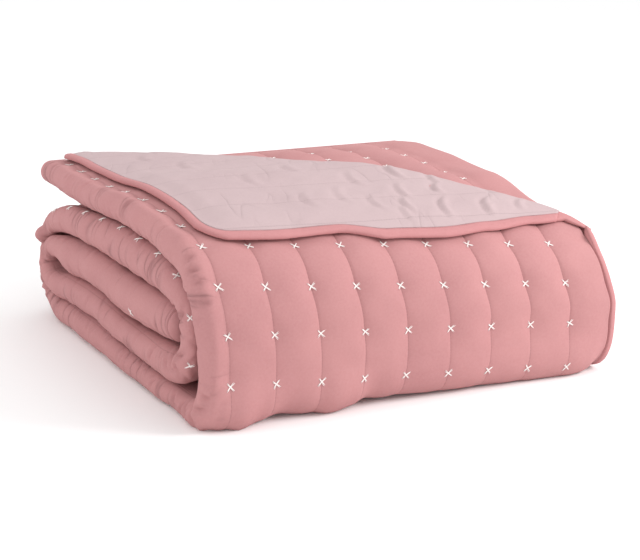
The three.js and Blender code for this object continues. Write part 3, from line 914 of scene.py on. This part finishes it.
def end_binding(name, start, end, outer_end, rounding):
    """The bound end of the band, round all of its folded layers, eased by rounding at its tip."""
    t = np.linspace(start, end, 7)
    stop = np.full((len(t), 1), outer_end, float)

    def faces(half, turn_x, tuck):
        return evenly(half, stop, 4), half[:, :0], evenly(tuck, turn_x, 24)

    parts, _ = folded_section(t, stop, (15, 9, 9, 8, 8), faces)
    section = np.concatenate(list(parts.values()), axis=1)
    share = np.linspace(-1, 1, len(t))[:, None]
    thin = 0.9 * np.abs(share) ** 3
    tip = rounding * np.clip((share + 1) / 2, 0, 1) ** 2
    x = section[..., 0] - section[..., 2] * thin
    n = (section[..., 1] - section[..., 3] * thin) * (1 - tip)
    x = x + 16 * tip * smooth(40, 0, x)
    points = on_band(x, t[:, None], n).reshape(-1, 3)
    uvs = cloth_uvs(t[:, None], section[..., 0])
    return outward(add_mesh(name, points, ring_faces(len(t), section.shape[1]), uvs))


# Cross stitches

THREAD = 0.36  # radius of the thread
CROSS = 5.6  # half the length of a stroke
ROWS = range(-12, 40)  # rows of crosses that are tried, 0 the first down the front
UPPER_SIDE = 30  # angle of the crosses round the second fold, in degrees
LOWER_SIDE = 112  # and of the one near the inner end


def face_point(x, t, lift):
    """A point on the outer face of the band, with its relief, lift above the cloth."""
    return on_band(x, t, along(t, "thick") / 2 + face_relief(x, t) + lift)


def middle_point(x, t, lift):
    """The same on the layer that the turned corner has laid bare."""
    level = layer_of(along(t, "thick")) / 2
    return on_band(x, t, level + bared_relief(x, t) + lift)


def fold_point(u, t, lift):
    """A point on the round left fold."""
    half = along(t, "thick") / 2
    degrees = 90 - np.degrees((u - half) / half)
    radius = half + left_relief(t, degrees) + lift
    turn = np.radians(degrees)
    return on_band(half + radius * np.cos(turn), t, radius * np.sin(turn))


def thread(path, radius, sides=6):
    """Rings of a thread along a short path of points, in metres."""
    path = np.asarray(path)
    direction = np.gradient(path, axis=0)
    direction /= np.linalg.norm(direction, axis=1)[:, None]
    side = np.cross(direction, (0.31, 0.52, 0.79))
    side /= np.linalg.norm(side, axis=1)[:, None]
    other = np.cross(direction, side)
    angles = np.linspace(0, 2 * math.pi, sides, endpoint=False)[None, :, None]
    ring = np.cos(angles) * side[:, None] + np.sin(angles) * other[:, None]
    shares = np.linspace(-1, 1, len(path))
    thin = np.sqrt(np.clip(1.02 - shares**6, 0.05, 1))[:, None, None]
    return (path[:, None] + ring * radius * MM * thin).reshape(-1, 3)


SECOND_FOLD_PLACE = place_along(438, 111)
INNER_FRONT_PLACE = place_along(50, 64)


def cross_places():
    """Where crosses show: x and t, the face that they are on, and their size there."""
    places = []
    for line in range(LINE_COUNT):
        x = FIRST_LINE + line * LINE_PITCH
        for row in ROWS:
            length = FIRST_STITCH + STITCH_SKEW * x + row * STITCH_PITCH
            t = float(np.interp(length, OUTER_LENGTH, PATH_T))
            w = TOP_LENGTH - t
            bared = t < TOP_LENGTH and x + w > FOLD_SUM + 14
            covered = x > 28 and w > eased(FRONT_EDGE, x) - BINDING - 2 and not bared
            rolled_in = t > SECOND_FOLD_PLACE
            if t < 18 or covered or (rolled_in and line > 0):
                continue
            if rolled_in:
                on_second = t < INNER_FRONT_PLACE
                near_end = LENGTH - 100 < t < LENGTH - 50
                angle = UPPER_SIDE if on_second else LOWER_SIDE
                half = float(along(t, "thick")) / 2
                if on_second or near_end:
                    places.append((half * (1 - math.radians(angle)), t, fold_point, 0.9))
            elif bared:
                places.append((x, t, middle_point, 0.8))
            else:
                places.append((x, t, face_point, 1.0))
    return places


def build_crosses():
    """All crosses as one mesh: two strokes each, of two threads."""
    draw = np.random.default_rng(77)
    points, faces = [], []
    steps, sides = 7, 6
    for x, t, point, size in cross_places():
        tilt = draw.uniform(-0.2, 0.2)
        for hand in (-1, 1):
            for strand in (-0.5, 0.5):
                angle = hand * draw.uniform(0.72, 0.86) + tilt
                shares = np.linspace(-1, 1, steps)
                reach = size * CROSS * draw.uniform(0.88, 1.12)
                gap = strand * THREAD * 1.5 * (1 + 0.9 * np.abs(shares))
                across = shares * reach * math.sin(angle) + gap * math.cos(angle)
                up = shares * reach * math.cos(angle) - gap * math.sin(angle)
                high = 0.35 + 0.35 * (1 - np.abs(shares)) * (hand > 0)
                here = np.interp(outer_length(t) + up, OUTER_LENGTH, PATH_T)
                path = point(x + across, here, high)
                faces += ring_faces(steps, sides, start=len(points) * steps * sides)
                points.append(thread(path, THREAD, sides))
    return outward(add_mesh("cross_stitches", np.concatenate(points), faces))


# Materials

class Nodes:
    """A material's node tree, with short calls for the nodes it needs."""

    def __init__(self, name):
        self.material = bpy.data.materials.new(name)
        self.material.use_nodes = True
        self.tree = self.material.node_tree
        self.shader = self.tree.nodes["Principled BSDF"]

    def add(self, kind, inputs=(), **settings):
        node = self.tree.nodes.new(kind)
        for key, value in settings.items():
            setattr(node, key, value)
        for key, value in dict(inputs).items():
            self.put(node.inputs[key], value)
        return node

    def put(self, socket, value):
        if isinstance(value, bpy.types.NodeSocket):
            self.tree.links.new(value, socket)
        else:
            socket.default_value = value

    def maths(self, operation, a, b=0.0, c=0.0, clamp=False):
        node = self.add("ShaderNodeMath", operation=operation, use_clamp=clamp)
        for socket, value in zip(node.inputs, (a, b, c)):
            self.put(socket, value)
        return node.outputs[0]

    def times(self, a, b):
        return self.maths("MULTIPLY", a, b)

    def minus(self, a, b):
        return self.maths("SUBTRACT", a, b)

    def ramp(self, value, slope, start):
        """A straight ramp over a value, kept between 0 and 1."""
        return self.maths("MULTIPLY_ADD", value, slope, start, clamp=True)

    def noise(self, place, scale, detail=2.0, distortion=0.0):
        inputs = {"Vector": place, "Scale": scale, "Detail": detail, "Distortion": distortion}
        return self.add("ShaderNodeTexNoise", inputs).outputs["Fac"]

    def blend(self, share, a, b):
        node = self.add("ShaderNodeMix", data_type="RGBA")
        for place, value in ((0, share), (6, a), (7, b)):
            self.put(node.inputs[place], value)
        return node.outputs[2]

    def surface(self, base, height, strength, distance, settings):
        """Gives the shader its colour, bump and other settings."""
        inputs = {"Strength": strength, "Distance": distance, "Height": height}
        bump = self.add("ShaderNodeBump", inputs)
        self.put(self.shader.inputs["Base Color"], base)
        self.put(self.shader.inputs["Normal"], bump.outputs["Normal"])
        for key, value in settings.items():
            self.shader.inputs[key].default_value = value
        return self.material


# Lengths in the materials, in metres
WEAVE = 0.00055  # from one thread to the next
WEAVE_HEIGHT = 0.00004
SEAM_STITCH = 0.0032  # length of a stitch of the quilting
SEAM_DEPTH = 0.0006
FOLD_WIDTH = 0.02  # creases fade out over this width beside the left fold
CREASE_DEPTH = 0.0058
CRUMPLE_HEIGHT = 0.0009

# Colours of each cloth: its own, a darker one in patches, and a paler one of worn threads
ROSE = ((0.482, 0.226, 0.226, 1), (0.436, 0.198, 0.202, 1), (0.545, 0.296, 0.291, 1))
PALE = ((0.485, 0.368, 0.375, 1), (0.455, 0.34, 0.35, 1), (0.54, 0.42, 0.425, 1))
TAPE = ((0.505, 0.224, 0.228, 1), (0.46, 0.198, 0.202, 1), (0.57, 0.29, 0.29, 1))


def weave_height(made, u, v):
    """A plain weave, as waves along both threads."""
    warp = made.maths("SINE", made.times(u, 2 * math.pi / WEAVE))
    weft = made.maths("SINE", made.times(v, 2 * math.pi / WEAVE))
    return made.times(made.times(warp, weft), WEAVE_HEIGHT)


def seam_share(made, u, v, first_line):
    """1 on the quilting seams and 0 beside them, a little weaker between two stitches."""
    place = made.times(made.minus(u, first_line * MM), 1 / (LINE_PITCH * MM))
    off = made.maths("ABSOLUTE", made.minus(place, made.maths("ROUND", place)))
    near = made.ramp(off, -LINE_PITCH / 0.9, 1.0)
    dash = made.maths("SINE", made.times(v, 2 * math.pi / SEAM_STITCH))
    return made.times(near, made.maths("MULTIPLY_ADD", dash, 0.25, 0.75))


def crease_share(made, spot, u, v, wrinkled):
    """Fine creases in patches: across the left folds if wrinkled is None, else slanting."""
    if wrinkled is None:
        strength = made.ramp(u, -1 / FOLD_WIDTH, 1.3)
        across, length = made.times(u, 9.0), made.times(v, 46.0)
    else:
        strength = wrinkled
        across = made.times(u, 10.0)
        length = made.times(made.maths("MULTIPLY_ADD", u, -0.25, v), 36.0)
    place = made.add("ShaderNodeCombineXYZ", {"X": across, "Y": length})
    streak = made.noise(place.outputs[0], 1.0, 1.0, 0.25)
    off = made.maths("ABSOLUTE", made.maths("MULTIPLY_ADD", streak, 2.0, -1.0))
    crease = made.maths("POWER", made.maths("SUBTRACT", 1.0, off, clamp=True), 16.0)
    patch = made.ramp(made.noise(spot, 17.0), 6.0, -3.0)
    return made.times(made.times(crease, patch), strength)


def cloth_material(name, colours, sheen, first_line, wrinkled=None):
    """Fine cotton: a plain weave, mottled colour, quilting seams and fine creases."""
    made = Nodes(name)
    colour, shade, worn = colours
    shadow = tuple(0.55 * part for part in shade[:3]) + (1,)
    places = made.add("ShaderNodeTexCoord")
    uv = made.add("ShaderNodeSeparateXYZ", {"Vector": places.outputs["UV"]})
    spot, u, v = places.outputs["Object"], uv.outputs[0], uv.outputs[1]
    base = made.blend(made.ramp(made.noise(spot, 14.0, 4.0), 1.8, -0.4), colour, shade)
    base = made.blend(made.ramp(made.noise(spot, 420.0), 0.5, -0.1), base, worn)
    seam = seam_share(made, u, v, first_line)
    base = made.blend(made.times(seam, 0.35), base, shadow)
    height = made.minus(weave_height(made, u, v), made.times(seam, SEAM_DEPTH))
    crease = crease_share(made, spot, u, v, wrinkled)
    base = made.blend(made.times(crease, 0.5), base, shadow)
    height = made.minus(height, made.times(crease, CREASE_DEPTH))
    crumple = made.times(made.noise(spot, 55.0, 3.0), CRUMPLE_HEIGHT)
    height = made.maths("ADD", height, crumple)
    settings = {"Roughness": 0.86, "Specular IOR Level": 0.22, "Sheen Weight": sheen,
                "Sheen Roughness": 0.45, "Sheen Tint": worn}
    return made.surface(base, height, 0.5, 1.0, settings)


def thread_material():
    made = Nodes("white_thread")
    places = made.add("ShaderNodeTexCoord")
    inputs = {"Vector": places.outputs["Object"], "Scale": 900.0, "Distortion": 1.0}
    twist = made.add("ShaderNodeTexWave", inputs).outputs["Fac"]
    base = made.blend(twist, (0.86, 0.78, 0.75, 1), (0.93, 0.89, 0.87, 1))
    return made.surface(base, twist, 0.3, 0.0002, {"Roughness": 0.7})


def dress(piece, material, slot, *nodes):
    """Gives a piece its material, hangs it under the root body and hides the nodes it stands for.
    The argument slot is not used.
    """
    piece.data.materials.append(material)
    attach(piece, "root")
    if nodes:
        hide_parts(*nodes)
    return piece


# Stage, lights and camera

STAGE_REACH = 40.0  # metres
AIM = (0, 0, 0.1)  # where the lamps point, in metres
CAMERA_PLACE = (-851.7, -1621.55, 568.6)
CAMERA_FORWARD = (0.4529, 0.8517, -0.2635)
CAMERA_UP = (0.1056, 0.2423, 0.9645)
CAMERA_LENS = 95.5


def build_stage():
    signs = ((-1, -1), (1, -1), (1, 1), (-1, 1))
    corners = [(x * STAGE_REACH, y * STAGE_REACH, 0) for x, y in signs]
    floor = add_mesh("studio_floor", corners, [(0, 1, 2, 3)])
    made = Nodes("pale_floor")
    made.put(made.shader.inputs["Base Color"], (0.95, 0.95, 0.95, 1))
    made.put(made.shader.inputs["Roughness"], 0.9)
    floor.data.materials.append(made.material)


def area_light(name, place, size, power):
    light = bpy.data.lights.new(name, "AREA")
    light.shape = "DISK"
    light.size = size
    light.energy = power
    lamp = add_object(name, light)
    lamp.location = place
    lamp.rotation_euler = (Vector(AIM) - Vector(place)).to_track_quat("-Z", "Y").to_euler()


def build_lights():
    world = bpy.data.worlds.new("studio")
    world.use_nodes = True
    sky = world.node_tree.nodes["Background"]
    sky.inputs["Color"].default_value = (1, 1, 1, 1)
    sky.inputs["Strength"].default_value = 1.03
    bpy.context.scene.world = world
    area_light("key", (1.35, -1.0, 1.0), 0.9, 24)
    area_light("top", (0.2, 0.3, 2.4), 1.8, 4)
    area_light("fill", (-1.9, 0.1, 0.8), 1.6, 5)


def build_camera():
    """The camera at the photograph's angle: its place, its direction and its roll."""
    place = Vector(CAMERA_PLACE) * MM
    forward = Vector(CAMERA_FORWARD).normalized()
    right = forward.cross(Vector(CAMERA_UP)).normalized()
    up = right.cross(forward).normalized()
    data = bpy.data.cameras.new("camera")
    data.sensor_width = 36
    data.lens = CAMERA_LENS
    data.clip_end = 100
    camera = add_object("camera", data)
    turn = Matrix((right, up, -forward)).transposed().to_4x4()
    camera.matrix_world = Matrix.Translation(place) @ turn
    bpy.context.scene.camera = camera


# Assembly

cloth = cloth_material("rose_cotton", ROSE, 0.2, FIRST_LINE)
pale = cloth_material("pale_cotton", PALE, 0.08, REVERSE_LINE, wrinkled=0.22)
tape = cloth_material("rose_tape", TAPE, 0.12, TAPE_SEAM, wrinkled=0.0)

quilt = dress(build_quilt(), cloth, "quilted_cotton", "quilted_body")
reverse = dress(build_reverse(), pale, "pale_reverse", "reverse_corner")
corner_tape = dress(build_corner_binding(), tape, "binding_tape", "binding_corner")
side_tape = dress(build_side_binding(), tape, "binding_tape", "binding_side")
back_end = end_binding("back_binding", 0, BINDING, 34, 0)
back_tape = dress(back_end, tape, "binding_tape", "binding_back")
inner_end = end_binding("inner_binding", LENGTH - BINDING, LENGTH, OUTER_END, 0.45)
inner_tape = dress(inner_end, cloth, "binding_tape", "binding_inner")
crosses = dress(build_crosses(), thread_material(), "pale_reverse")

build_stage()
build_lights()
build_camera()
bpy.context.scene.view_settings.view_transform = "Standard"
